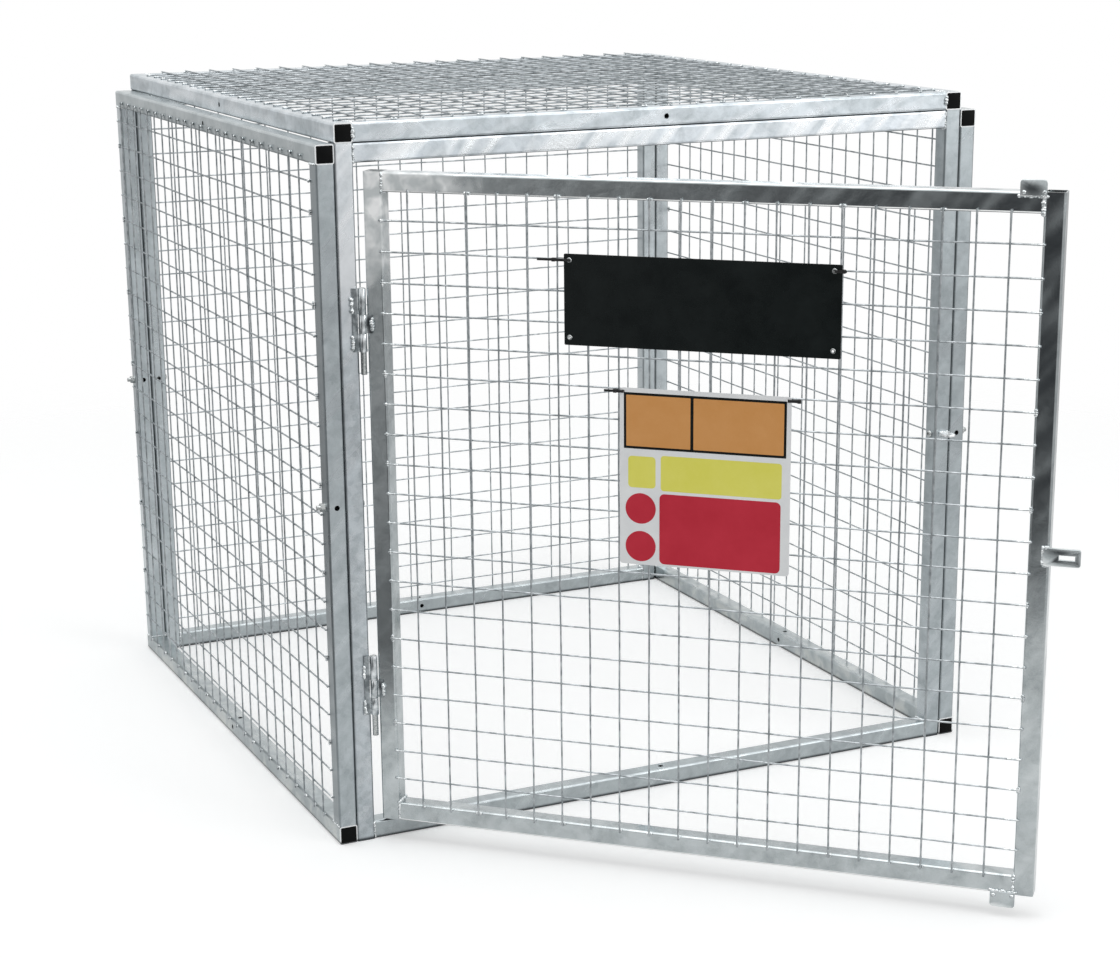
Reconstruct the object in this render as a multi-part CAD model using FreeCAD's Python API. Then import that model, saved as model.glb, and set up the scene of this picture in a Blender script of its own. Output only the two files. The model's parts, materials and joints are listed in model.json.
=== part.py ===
import FreeCAD, Part
import math
import os
from FreeCAD import Vector

# Gas cylinder cage: six bolted panels of square steel tube and welded mesh, with one hinged door.
# Millimetres. X runs along the front, Y into the cage, Z up.
# The origin is on the ground at the middle of the cage's floor area.

# Frame tube
tube = 32.0                 # outside width of the square tube
tubeWall = 2.0
tubeCorner = 4.0            # outside corner radius

# Whole cage
cageWidth = 1250.0          # over the two side panels' tubes
cageDepth = 1218.0
panelHeight = 1187.0        # side, front and back panels; the roof panel lies on top

# Welded mesh
meshPitch = 50.0
wire = 3.0                  # width across one wire
wireBite = 0.4              # how deep crossing wires are pressed into each other
meshLap = 10.0              # how far a wire's end lies over the tube that it is welded to
doorMeshLap = 5.5           # the same on the door

# How far each mesh lies off the middle of its frame: to the right seen from outside, and upwards.
# The roof's mesh counts as seen from above with the door side nearest.
leftMeshRight = -12.0
leftMeshUp = 9.0
rightMeshRight = -18.0
rightMeshUp = 3.5
backMeshRight = -15.0
backMeshUp = -13.0
roofMeshRight = -9.0
roofMeshUp = -15.0

# Bolt holes at the middle of each panel tube, one through each pair of faces
boltHole = 9.0
bolt = 8.0                  # shank diameter
headAcross = 14.0           # low domed head with a hexagon socket
headHeight = 4.4
headRound = 3.0
socketAcross = 5.0
socketDepth = 2.6
nutAcross = 13.0
nutHeight = 6.5
washerAcross = 16.0
washerThick = 1.6
boltTail = 6.0              # thread that stands out past the nut

# End caps in the open tubes
capLip = 1.5                # how far a cap stands out of the tube
capLipInset = 3.0           # the lip's edge inside the tube's outside face
capPlug = 12.0
capFit = 0.1                # gap round the plug inside the tube

# Door
doorOpen = 43.6             # opening angle in the rest pose, in degrees
hingeGap = 10.0             # between the hinge post and the closed door
latchGap = 6.0
doorSill = 6.0              # over the threshold
doorTop = 13.0              # under the front top tube
barrelOut = 5.0             # hinge axis in front of the tubes' outer faces

# Hinges
barrel = 13.0               # knuckle diameter
hingePin = 10.0
pinFit = 0.05               # radial clearance of the moving knuckle
pinTail = 37.5              # pin below the lowest knuckle
pinHead = 1.0               # pin above the highest knuckle
upperKnuckle = 42.5
middleKnuckle = 30.5
lowerKnuckle = 30.0
knuckleGap = 0.5
leafThick = 3.0
postLeafReach = 16.0        # from the hinge axis to the edge of the leaf on the post
doorLeafReach = 15.0
upperHingeDrop = 336.0      # from the panels' top down to the upper hinge's lowest knuckle
lowerHingeBase = 228.0      # height of the lower hinge's lowest knuckle

# Stops and lock
plateThick = 4.0
tabWidth = 39.0
tabRound = 5.0
tabFromEdge = 28.0          # from the door's latch edge to the tab
topTabRise = 18.0           # above the door
topTabLap = 6.0             # over the door's top tube
bottomTabDrop = 22.0
bottomTabLap = 4.0
haspHeight = 28.0
haspReach = 47.0            # past the door's latch edge
haspLap = 10.0
haspRound = 4.0
haspAbove = 1.5             # centre of the hasp above the middle of the cage
slotLength = 24.0
slotHeight = 7.0
slotFromTip = 8.5
stapleWidth = 20.0
stapleThick = 4.5
stapleReach = 26.0
stapleRound = 6.0
padlockHole = 9.0
padlockFromTip = 9.0

# Sign boards on the door
signThick = 2.0
signClear = 0.2             # between the mesh and a board
upperSignRight = 7.5        # from the door's middle to the board's, towards the latch
upperSignDrop = 117.0       # from the door's top edge to the board's
upperSignWidth = 441.0
upperSignHeight = 144.0
lowerSignRight = 15.5
lowerSignDrop = 63.0        # from the upper board's lower edge to this one's top
lowerSignWidth = 276.0
lowerSignHeight = 286.5

# Places worked out from the sizes above
halfWidth = cageWidth / 2
yFront = -cageDepth / 2
yBack = cageDepth / 2
zMiddle = panelHeight / 2
innerWidth = cageWidth - 2 * tube          # front and back panels fit between the side panels
doorwayWidth = innerWidth - 2 * tube
doorwayHeight = panelHeight - 2 * tube
doorWidth = doorwayWidth - hingeGap - latchGap
doorHeight = doorwayHeight - doorSill - doorTop
hingeX = -doorwayWidth / 2 + hingeGap / 2
hingeY = yFront - barrelOut
hingeLine = Vector(hingeX, hingeY, 0)
doorEdgeX = -doorwayWidth / 2 + hingeGap   # the closed door's hinge edge
doorBase = tube + doorSill
meshThick = 2 * wire - wireBite

X = Vector(1, 0, 0)
Y = Vector(0, 1, 0)
Z = Vector(0, 0, 1)

os.makedirs("parts", exist_ok=True)


def write(name, solids):
    """Write one node, one solid or several that don't touch."""
    if not isinstance(solids, list):
        solids = [solids]
    shape = solids[0] if len(solids) == 1 else Part.makeCompound(solids)
    shape.exportStep("parts/" + name + ".step")


def roundedSquare(side, radius):
    """Wire of a square with rounded corners, centred on the origin in the XY plane."""
    h = side / 2
    s = h - radius
    m = radius * math.sqrt(0.5)
    edges = []
    for turn in range(4):
        spin = FreeCAD.Rotation(Z, 90 * turn)
        start = spin.multVec(Vector(h, -s, 0))
        end = spin.multVec(Vector(h, s, 0))
        bend = spin.multVec(Vector(s + m, s + m, 0))
        after = spin.multVec(Vector(s, h, 0))
        edges.append(Part.makeLine(start, end))
        edges.append(Part.Arc(end, bend, after).toShape())
    return Part.Wire(edges)


def tubeFrom(start, along, length, holes=()):
    """Square tube with its centre line from start; holes lists the directions drilled at mid-length."""
    outer = Part.Face(roundedSquare(tube, tubeCorner))
    inner = Part.Face(roundedSquare(tube - 2 * tubeWall, tubeCorner - tubeWall))
    solid = outer.cut(inner).extrude(Vector(0, 0, length))
    solid.Placement = FreeCAD.Placement(start, FreeCAD.Rotation(Z, along))
    middle = start + along * (length / 2)
    for way in holes:
        drill = Part.makeCylinder(boltHole / 2, 2 * tube, middle - way * tube, way)
        solid = solid.cut(drill)
    return solid


def panelFrame(width, height, postsThrough, postHoles=(X, Y), railHoles=(Y, Z)):
    """Four tubes of a panel that stands in XZ, its outer face at Y = 0 and its inner face at Y = tube."""
    c = tube / 2
    postStart = 0 if postsThrough else tube
    railStart = tube if postsThrough else 0
    postLength = height - 2 * postStart
    railLength = width - 2 * railStart
    return {
        "left": tubeFrom(Vector(c, c, postStart), Z, postLength, postHoles),
        "right": tubeFrom(Vector(width - c, c, postStart), Z, postLength, postHoles),
        "bottom": tubeFrom(Vector(railStart, c, c), X, railLength, railHoles),
        "top": tubeFrom(Vector(railStart, c, height - c), X, railLength, railHoles),
    }


def wirePlaces(low, high, shift):
    """Places of the wires between two tubes' inner edges, one mesh pitch apart."""
    count = int((high - low) / meshPitch)
    first = (low + high) / 2 - (count - 1) * meshPitch / 2 + shift
    return [first + i * meshPitch for i in range(count)]


def meshPieces(width, height, split, toRight=0, toTop=0, lap=meshLap):
    """Welded mesh on a panel's outer face, in XZ, the level wires against the tubes."""
    uprights = wirePlaces(tube, width - tube, toRight)
    levels = wirePlaces(tube, height - tube, toTop)
    low = tube - lap
    highX = width - tube + lap
    highZ = height - tube + lap
    cuts = [low, highX]
    if split:
        cuts.insert(1, (uprights[len(uprights) // 2 - 1] + uprights[len(uprights) // 2]) / 2)
    pieces = []
    for i in range(len(cuts) - 1):
        bars = []
        for z in levels:
            corner = Vector(cuts[i], -wire, z - wire / 2)
            bars.append(Part.makeBox(cuts[i + 1] - cuts[i], wire, wire, corner))
        posts = []
        for x in uprights:
            if cuts[i] < x < cuts[i + 1]:
                corner = Vector(x - wire / 2, -meshThick, low)
                posts.append(Part.makeBox(wire, wire, highZ - low, corner))
        pieces.append(Part.makeCompound(bars).fuse(posts))
    return pieces


def place(shape, origin, right, up):
    """Put a panel built in XZ where its lower left corner, its right and its up directions say."""
    spin = FreeCAD.Rotation(right, up.cross(right), up, "ZXY")
    moved = shape.copy()
    moved.Placement = FreeCAD.Placement(origin, spin).multiply(moved.Placement)
    return moved


def capAt(mouth, out):
    """Plastic plug with a thin square head in a tube's open end."""
    corner = tubeCorner - tubeWall
    head = Part.Face(roundedSquare(tube - 2 * capLipInset, corner)).extrude(Vector(0, 0, capLip))
    bore = tube - 2 * tubeWall - 2 * capFit
    plug = Part.Face(roundedSquare(bore, corner)).extrude(Vector(0, 0, -capPlug))
    cap = head.fuse(plug)
    cap.Placement = FreeCAD.Placement(mouth, FreeCAD.Rotation(Z, out))
    return cap


def hexagon(across, height):
    points = []
    for i in range(7):
        a = math.radians(60 * i + 30)
        points.append(Vector(math.cos(a), math.sin(a), 0) * (across / 2 / math.cos(math.pi / 6)))
    return Part.Face(Part.makePolygon(points)).extrude(Vector(0, 0, height))


def boltThrough(start, along, grip):
    """Bolt with its domed head at start, and a washer and nut past a grip of that length."""
    far = grip + washerThick
    shank = Part.makeCylinder(bolt / 2, far + nutHeight + boltTail)
    head = Part.makeCylinder(headAcross / 2, headHeight, Vector(0, 0, -headHeight))
    rim = [e for e in head.Edges if abs(e.CenterOfMass.z + headHeight) < 1e-6]
    head = head.makeFillet(headRound, rim)
    socket = hexagon(socketAcross, socketDepth)
    socket.translate(Vector(0, 0, -headHeight))
    washer = Part.makeCylinder(washerAcross / 2, washerThick, Vector(0, 0, grip))
    nut = hexagon(nutAcross, nutHeight)
    nut.translate(Vector(0, 0, far))
    solid = shank.fuse([head.cut(socket), washer, nut])
    solid.Placement = FreeCAD.Placement(start, FreeCAD.Rotation(Z, along))
    return solid


def openDoor(shape):
    """Turn a piece from the closed door's place to the rest pose."""
    turned = shape.copy()
    turned.rotate(hingeLine, Z, -doorOpen)
    return turned


def roundedPlate(width, height, thick, radius, corners):
    """Plate in XZ from the origin, thick towards -Y, with the named upright edges rounded."""
    plate = Part.makeBox(width, thick, height, Vector(0, -thick, 0))
    picked = []
    for edge in plate.Edges:
        c = edge.CenterOfMass
        if abs(c.y + thick / 2) < 1e-6 and (c.x > width / 2, c.z > height / 2) in corners:
            picked.append(edge)
    return plate.makeFillet(radius, picked)


def knuckle(base, length, boreRadius):
    ring = Part.makeCylinder(barrel / 2, length, Vector(hingeX, hingeY, base))
    return ring.cut(Part.makeCylinder(boreRadius, length, Vector(hingeX, hingeY, base)))


def leaf(side, base, length, reach):
    """Flat leaf on the tubes' outer faces, from under the knuckle to its edge; side is -1 or 1."""
    start = 0 if side > 0 else -reach
    flat = Part.makeBox(reach, leafThick, length, Vector(hingeX + start, yFront - leafThick, base))
    return flat.cut(Part.makeCylinder(barrel / 2 - 1, length, Vector(hingeX, hingeY, base)))


def hinge(base):
    """Post side, door side and pin of one three-knuckle hinge, with the door closed."""
    middle = base + lowerKnuckle + knuckleGap
    upper = middle + middleKnuckle + knuckleGap
    top = upper + upperKnuckle
    snug = hingePin / 2
    # The post's leaf runs the whole height behind the middle knuckle and is cut back round it
    cutBack = barrel / 2 + knuckleGap
    cutHeight = middleKnuckle + 2 * knuckleGap
    cutCorner = Vector(hingeX - cutBack, yFront - barrel, base + lowerKnuckle)
    post = leaf(-1, base, top - base, postLeafReach)
    post = post.cut(Part.makeBox(cutBack, barrel, cutHeight, cutCorner))
    post = post.fuse([knuckle(base, lowerKnuckle, snug), knuckle(upper, upperKnuckle, snug)])
    pinLength = pinTail + top - base + pinHead
    pin = Part.makeCylinder(snug, pinLength, Vector(hingeX, hingeY, base - pinTail))
    door = leaf(1, middle, middleKnuckle, doorLeafReach)
    door = door.fuse(knuckle(middle, middleKnuckle, snug + pinFit))
    return post, door, pin


def buildSidePanels():
    for side, sign in (("left", -1), ("right", 1)):
        frame = panelFrame(cageDepth, panelHeight, False)
        # Seen from outside, the left panel's right end is at the front, the right panel's at the back
        if sign < 0:
            origin = Vector(-halfWidth, yBack, 0)
            right = Y * -1
            ends = {"left": "back_post", "right": "front_post"}
        else:
            origin = Vector(halfWidth, yFront, 0)
            right = Y
            ends = {"left": "front_post", "right": "back_post"}
        ends["bottom"] = "bottom_rail"
        ends["top"] = "top_rail"
        for key, name in ends.items():
            write(side + "_" + name, place(frame[key], origin, right, Z))
        shift = (leftMeshRight, leftMeshUp) if sign < 0 else (rightMeshRight, rightMeshUp)
        for half, piece in zip(("a", "b"), meshPieces(cageDepth, panelHeight, True, *shift)):
            write(side + "_mesh_" + half, place(piece, origin, right, Z))


def buildFrontPanel():
    # No holes in the faces that show at the front
    frame = panelFrame(innerWidth, panelHeight, True, postHoles=(X,), railHoles=(Z,))
    names = {
        "left": "front_hinge_post",
        "right": "front_latch_post",
        "bottom": "threshold",
        "top": "front_top_rail",
    }
    for key, name in names.items():
        write(name, place(frame[key], Vector(-innerWidth / 2, yFront, 0), X, Z))


def buildBackPanel():
    frame = panelFrame(innerWidth, panelHeight, True)
    origin = Vector(innerWidth / 2, yBack, 0)
    names = {
        "left": "back_right_post",
        "right": "back_left_post",
        "bottom": "back_bottom_rail",
        "top": "back_top_rail",
    }
    for key, name in names.items():
        write(name, place(frame[key], origin, X * -1, Z))
    halves = meshPieces(innerWidth, panelHeight, True, backMeshRight, backMeshUp)
    for half, piece in zip(("a", "b"), halves):
        write("back_mesh_" + half, place(piece, origin, X * -1, Z))


def buildRoofPanel():
    frame = panelFrame(innerWidth, cageDepth, True)
    origin = Vector(-innerWidth / 2, yFront, panelHeight + tube)
    names = {
        "left": "roof_left_rail",
        "right": "roof_right_rail",
        "bottom": "roof_front_rail",
        "top": "roof_back_rail",
    }
    for key, name in names.items():
        write(name, place(frame[key], origin, X, Y))
    halves = meshPieces(innerWidth, cageDepth, True, roofMeshRight, roofMeshUp)
    for half, piece in zip(("a", "b"), halves):
        write("roof_mesh_" + half, place(piece, origin, X, Y))


def buildDoor():
    frame = panelFrame(doorWidth, doorHeight, True, postHoles=(), railHoles=())
    origin = Vector(doorEdgeX, yFront, doorBase)
    names = {
        "left": "door_hinge_stile",
        "right": "door_latch_stile",
        "bottom": "door_bottom_rail",
        "top": "door_top_rail",
    }
    for key, name in names.items():
        write(name, openDoor(place(frame[key], origin, X, Z)))
    mesh = meshPieces(doorWidth, doorHeight, False, lap=doorMeshLap)[0]
    write("door_mesh", openDoor(place(mesh, origin, X, Z)))


def buildDoorStops():
    tabX = doorEdgeX + doorWidth - tabFromEdge - tabWidth
    upper = {(False, True), (True, True)}
    lower = {(False, False), (True, False)}
    top = roundedPlate(tabWidth, topTabLap + topTabRise, plateThick, tabRound, upper)
    top.translate(Vector(tabX, yFront, doorBase + doorHeight - topTabLap))
    bottom = roundedPlate(tabWidth, bottomTabLap + bottomTabDrop, plateThick, tabRound, lower)
    bottom.translate(Vector(tabX, yFront, doorBase - bottomTabDrop))
    write("door_top_stop", openDoor(top))
    write("door_bottom_stop", openDoor(bottom))


def buildLock():
    z = zMiddle + haspAbove
    tipX = doorEdgeX + doorWidth + haspReach
    freeEnd = {(True, False), (True, True)}
    plate = roundedPlate(haspLap + haspReach, haspHeight, plateThick, haspRound, freeEnd)
    plate.translate(Vector(tipX - haspLap - haspReach, yFront, z - haspHeight / 2))
    slotX = tipX - slotFromTip - slotLength
    slotCorner = Vector(slotX, yFront - 2 * plateThick, z - slotHeight / 2)
    slot = Part.makeBox(slotLength, 3 * plateThick, slotHeight, slotCorner)
    write("hasp", openDoor(plate.cut(slot)))
    # The staple is a level plate on the latch post that the closed hasp's slot drops over
    stapleX = slotX + slotLength / 2
    tipY = yFront - stapleReach
    corner = Vector(stapleX - stapleWidth / 2, tipY, z - stapleThick / 2)
    flat = Part.makeBox(stapleWidth, stapleReach, stapleThick, corner)
    tips = []
    for edge in flat.Edges:
        c = edge.CenterOfMass
        if abs(c.y - tipY) < 1e-6 and abs(c.z - z) < 1e-6:
            tips.append(edge)
    flat = flat.makeFillet(stapleRound, tips)
    eyeStart = Vector(stapleX, tipY + padlockFromTip, z - 1.5 * stapleThick)
    eye = Part.makeCylinder(padlockHole / 2, 3 * stapleThick, eyeStart)
    write("lock_staple", flat.cut(eye))


def buildHinges():
    posts = []
    doors = []
    pins = []
    for base in (panelHeight - upperHingeDrop, lowerHingeBase):
        post, door, pin = hinge(base)
        posts.append(post)
        doors.append(openDoor(door))
        pins.append(pin)
    write("hinge_post_leaves", posts)
    write("hinge_door_leaves", doors)
    write("hinge_pins", pins)


def buildCaps():
    sides = []
    for sign in (-1, 1):
        x = sign * (halfWidth - tube / 2)
        for z in (tube / 2, panelHeight - tube / 2):
            sides.append(capAt(Vector(x, yFront, z), Y * -1))
            sides.append(capAt(Vector(x, yBack, z), Y))
    write("side_rail_caps", sides)
    roof = []
    for sign in (-1, 1):
        x = sign * (innerWidth / 2 - tube / 2)
        z = panelHeight + tube / 2
        roof.append(capAt(Vector(x, yFront, z), Y * -1))
        roof.append(capAt(Vector(x, yBack, z), Y))
    write("roof_rail_caps", roof)


def buildBolts():
    bolts = []
    for sign in (-1, 1):
        for y in (yFront + tube / 2, yBack - tube / 2):
            # Head inside the cage, nut outside
            start = Vector(sign * (halfWidth - 2 * tube), y, zMiddle)
            bolts.append(boltThrough(start, X * sign, 2 * tube))
    write("panel_bolts", bolts)


def buildSigns():
    middle = doorEdgeX + doorWidth / 2
    back = yFront - meshThick - signClear
    upperBase = doorBase + doorHeight - upperSignDrop - upperSignHeight
    lowerBase = upperBase - lowerSignDrop - lowerSignHeight
    boards = (
        ("upper_sign", upperSignRight, upperBase, upperSignWidth, upperSignHeight),
        ("lower_sign", lowerSignRight, lowerBase, lowerSignWidth, lowerSignHeight),
    )
    for name, toRight, base, width, height in boards:
        corner = Vector(middle + toRight - width / 2, back - signThick, base)
        write(name, openDoor(Part.makeBox(width, signThick, height, corner)))


buildSidePanels()
buildFrontPanel()
buildBackPanel()
buildRoofPanel()
buildDoor()
buildDoorStops()
buildLock()
buildHinges()
buildCaps()
buildBolts()
buildSigns()
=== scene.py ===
import json
import math
from functools import partial

import bmesh
import bpy
from mathutils import Matrix, Vector


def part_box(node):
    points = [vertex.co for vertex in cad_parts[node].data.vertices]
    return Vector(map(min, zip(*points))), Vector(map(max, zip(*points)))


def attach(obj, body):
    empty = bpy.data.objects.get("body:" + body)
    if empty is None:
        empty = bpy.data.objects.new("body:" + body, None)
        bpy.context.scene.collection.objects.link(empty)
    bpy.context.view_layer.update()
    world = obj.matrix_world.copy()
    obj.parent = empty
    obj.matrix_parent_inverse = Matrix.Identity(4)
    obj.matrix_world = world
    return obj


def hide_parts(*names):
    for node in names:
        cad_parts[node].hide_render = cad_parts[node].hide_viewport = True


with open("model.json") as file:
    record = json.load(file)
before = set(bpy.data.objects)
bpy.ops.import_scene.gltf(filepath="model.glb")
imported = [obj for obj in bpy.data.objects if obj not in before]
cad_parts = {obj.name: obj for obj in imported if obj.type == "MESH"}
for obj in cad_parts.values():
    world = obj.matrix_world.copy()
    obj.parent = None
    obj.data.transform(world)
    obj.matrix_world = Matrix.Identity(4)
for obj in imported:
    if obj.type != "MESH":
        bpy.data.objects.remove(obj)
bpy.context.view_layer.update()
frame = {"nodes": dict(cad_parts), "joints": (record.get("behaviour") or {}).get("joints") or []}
mm = 0.001
toRight, toBack, up = Vector((1, 0, 0)), Vector((0, 1, 0)), Vector((0, 0, 1))
print("frame loaded:", len(frame["nodes"]), "nodes")


# Small helpers

nodeFamilies = ("ShaderNode", "GeometryNode", "FunctionNode", "Node")


def linear(code):
    # sRGB hex to the linear colour that a shader takes
    parts = [int(code[i:i + 2], 16) / 255 for i in (0, 2, 4)]
    return tuple(p / 12.92 if p <= 0.04045 else ((p + 0.055) / 1.055) ** 2.4 for p in parts) + (1.0,)


def addNode(tree, kind, *inputs, out=0, **settings):
    # kind lacks its family and may carry an operation after a dot; inputs are values or other nodes'
    # outputs, in order or in a dictionary by name, and a list where several go into one socket;
    # gives the output that out says
    kind, dot, operation = kind.partition(".")
    node = tree.nodes.new(next(family + kind for family in nodeFamilies if hasattr(bpy.types, family + kind)))
    if dot:
        node.operation = operation
    for name, value in settings.items():
        setattr(node, name, value)
    filled = {}
    for i, value in enumerate(inputs):
        filled.update(value if isinstance(value, dict) else {i: value})
    for key, value in filled.items():
        for one in value if isinstance(value, list) else [value]:
            if isinstance(one, bpy.types.NodeSocket):
                tree.links.new(one, node.inputs[key])
            else:
                node.inputs[key].default_value = one
    return node.outputs[out] if len(node.outputs) else node


def emptyTree(holder):
    # clears a material's or the world's nodes and gives the function that adds to them
    holder.use_nodes = True
    holder.node_tree.nodes.clear()
    return partial(addNode, holder.node_tree)


def layered(add, coat, *layers):
    # colours laid one over the other, each by its share; a colour is a hex code, a value or an output
    for share, colour in layers:
        coat, colour = (linear(c) if isinstance(c, str) else c for c in (coat, colour))
        coat = add("Mix", share, {6: coat, 7: colour}, data_type="RGBA", out=2)
    return coat


def span(name, way, start=Vector()):
    # lowest and highest place of a CAD node along a direction, measured from start
    places = [(v.co - start).dot(way) for v in frame["nodes"][name].data.vertices]
    return min(places), max(places)


def doorSpans(name):
    # left and right, low and high, front and back of a node on the door, in the door's own place
    front, back = (-d for d in reversed(span(name, doorOut, doorCorner)))
    return (*span(name, doorRight, doorCorner), *span(name, up, doorCorner), front, back)


def middle(name):
    low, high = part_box(name)
    return (Vector(low) + Vector(high)) / 2


def basis(origin, right, out):
    # matrix of a panel: local X to the right, local -Y outwards, local Z up the panel
    turn = Matrix((right, -out, out.cross(right))).transposed()
    return Matrix.Translation(origin) @ turn.to_4x4()


def newObject(name, data):
    made = bpy.data.objects.new(name, data)
    bpy.context.collection.objects.link(made)
    return made


def newMesh(name, points, edges=(), faces=()):
    mesh = bpy.data.meshes.new(name)
    mesh.from_pydata(points, edges, faces)
    return mesh


def addBevel(piece, width, angle):
    bevel = piece.modifiers.new("soften", "BEVEL")
    bevel.width = width
    bevel.segments = 2
    bevel.limit_method = "ANGLE"
    bevel.angle_limit = math.radians(angle)
    return bevel


def baked(piece):
    # the evaluated shape becomes the piece's own plain mesh
    graph = bpy.context.evaluated_depsgraph_get()
    made = bpy.data.meshes.new_from_object(piece.evaluated_get(graph), depsgraph=graph)
    piece.modifiers.clear()
    piece.data = made
    made.name = piece.name
    return piece


def finishPiece(piece, body, stands=()):
    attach(piece, body)
    if stands:
        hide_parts(*stands)
    return piece


# Sizes that the whole scene shares, read from the frame

tube = span("threshold", up)[1] - span("threshold", up)[0]
doorRight = middle("door_latch_stile") - middle("door_hinge_stile")
doorRight.z = 0
doorRight.normalize()
doorOut = doorRight.cross(up)
doorCorner = middle("door_hinge_stile") - doorRight * tube / 2 + doorOut * tube / 2
doorCorner.z = span("door_hinge_stile", up)[0]
doorBasis = basis(doorCorner, doorRight, doorOut)
doorWidth = span("door_latch_stile", doorRight, doorCorner)[1]
doorHeight = span("door_hinge_stile", up, doorCorner)[1]
cageHigh = span("left_top_rail", up)[1]
roofHigh = span("roof_left_rail", up)[1]
sideRight = span("right_bottom_rail", toRight)[1]
frontY = span("threshold", toBack)[0]
backY = span("back_bottom_rail", toBack)[1]
innerRight = sideRight - tube
wide, deep = 2 * innerRight, backY - frontY
pinAt = Vector(frame["joints"][0]["pos_m"])

# each flat panel's matrix, width and height, seen from outside
panels = {
    "left": (basis(Vector((-sideRight, backY, 0)), -toBack, -toRight), deep, cageHigh),
    "right": (basis(Vector((sideRight, frontY, 0)), toBack, toRight), deep, cageHigh),
    "back": (basis(Vector((innerRight, backY, 0)), -toRight, toBack), wide, cageHigh),
    "front": (basis(Vector((-innerRight, frontY, 0)), toRight, -toBack), wide, cageHigh),
    "roof": (basis(Vector((-innerRight, frontY, roofHigh)), toRight, up), wide, deep),
    "door": (doorBasis, doorWidth, doorHeight),
}


# Camera at the photograph's viewing angle

camera = {
    "place": (-1.8457, -4.1394, 1.5665),
    "yaw": 25.0446,         # degrees clockwise from +Y
    "pitch": -15.5094,
    "roll": -0.5148,
    "focalPixels": 2337.8,
    "centre": (564.83, 541.38),
    "frame": (1120, 958),
    "sensor": 36.0,
    "clip": (0.05, 60),
}


def makeCamera():
    data = bpy.data.cameras.new("camera")
    width, height = camera["frame"]
    data.sensor_width = camera["sensor"]
    data.lens = camera["focalPixels"] / width * camera["sensor"]
    data.shift_x = (width / 2 - camera["centre"][0]) / width
    data.shift_y = (camera["centre"][1] - height / 2) / width
    data.clip_start, data.clip_end = camera["clip"]
    made = newObject("camera", data)
    yaw, pitch, roll = (math.radians(camera[k]) for k in ("yaw", "pitch", "roll"))
    ahead = Vector((math.sin(yaw) * math.cos(pitch), math.cos(yaw) * math.cos(pitch), math.sin(pitch)))
    level = Vector((math.cos(yaw), -math.sin(yaw), 0))
    right = level * math.cos(roll) + level.cross(ahead) * math.sin(roll)
    turn = Matrix((right, right.cross(ahead), -ahead)).transposed()
    made.matrix_world = Matrix.Translation(camera["place"]) @ turn.to_4x4()
    bpy.context.scene.camera = made


makeCamera()
print("camera placed")


# Pale studio: floor, world and lamps

studio = {
    "floorSize": 14.0,
    "floorFade": (2.0, 3.6),     # metres from the middle where the floor turns into the backdrop
    "floorColour": "f1f2f2",
    "floorGlow": 0.295,
    "floorEnd": (-0.90, -1.50),  # X where the pale floor ends for metal that mirrors it
    "floorDim": (0.12, 0.82),    # how much dimmer metal sees it, before and past that end
    "fill": 0.66,                # world light on rough surfaces
    # the room beyond the pale floor is dim, and darkest to the front left; only metal shows it
    "dimBelow": (-0.02, -0.12),  # height of a direction, from where it starts to where it is full
    "dimShare": (0.44, 0.96),    # away from the dark end and towards it
    "darkWay": (-0.74, -0.645, -0.18),
    "darkReach": (22, 3),        # degrees off that way where the dark end begins and is full
    "darkShare": 0.95,
    "darkColour": "22262b",
    "overhead": (0.50, 0.80),    # height of a direction where the soft box overhead starts and is full
    "overheadGlow": 1.1,
    "aim": (0, 0, 0.6),
    "lamps": {
        "keyLamp": {"place": (3.4, -5.2, 2.4), "size": (3.6, 2.6), "power": 75},
        "topLamp": {"place": (-0.8, -0.6, 4.6), "size": (3.0, 3.0), "power": 32},
        "sideLamp": {"place": (-4.6, 2.2, 2.4), "size": (2.4, 2.4), "power": 22},
    },
}


def rayKinds(add):
    # 1 on rays from gloss, and 1 on rays from the camera, from gloss and through clear things
    path = add("LightPath").node.outputs
    gloss = path["Is Glossy Ray"]
    some = add("Math.MAXIMUM", path["Is Camera Ray"], gloss)
    return gloss, add("Math.MAXIMUM", some, path["Is Transmission Ray"])


def makeWorld():
    world = bpy.data.worlds.new("paleStudio")
    add = emptyTree(world)
    gloss, white = rayKinds(add)
    way = add("TexCoord", out="Generated")
    height = add("SeparateXYZ", way, out="Z")
    below = add("MapRange", height, *studio["dimBelow"], interpolation_type="SMOOTHSTEP")
    towards = add("VectorMath.DOT_PRODUCT", way, Vector(studio["darkWay"]).normalized(), out="Value")
    near = add("MapRange", towards, *(math.cos(math.radians(angle)) for angle in studio["darkReach"]))
    dim = add("Math.MULTIPLY", add("MapRange", near, 0.0, 1.0, *studio["dimShare"]), below)
    dark = add("Math.MAXIMUM", dim, add("Math.MULTIPLY", near, studio["darkShare"]))
    tone = layered(add, (1, 1, 1, 1), (add("Math.MULTIPLY", dark, gloss), studio["darkColour"]))
    fill = add("MapRange", white, 0.0, 1.0, studio["fill"], 1.0)
    glow = studio["overheadGlow"]
    over = add("MapRange", height, *studio["overhead"], 0.0, glow, interpolation_type="SMOOTHSTEP")
    strength = add("Math.ADD", fill, add("Math.MULTIPLY", over, gloss))
    add("OutputWorld", add("Background", tone, strength))
    bpy.context.scene.world = world


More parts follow.
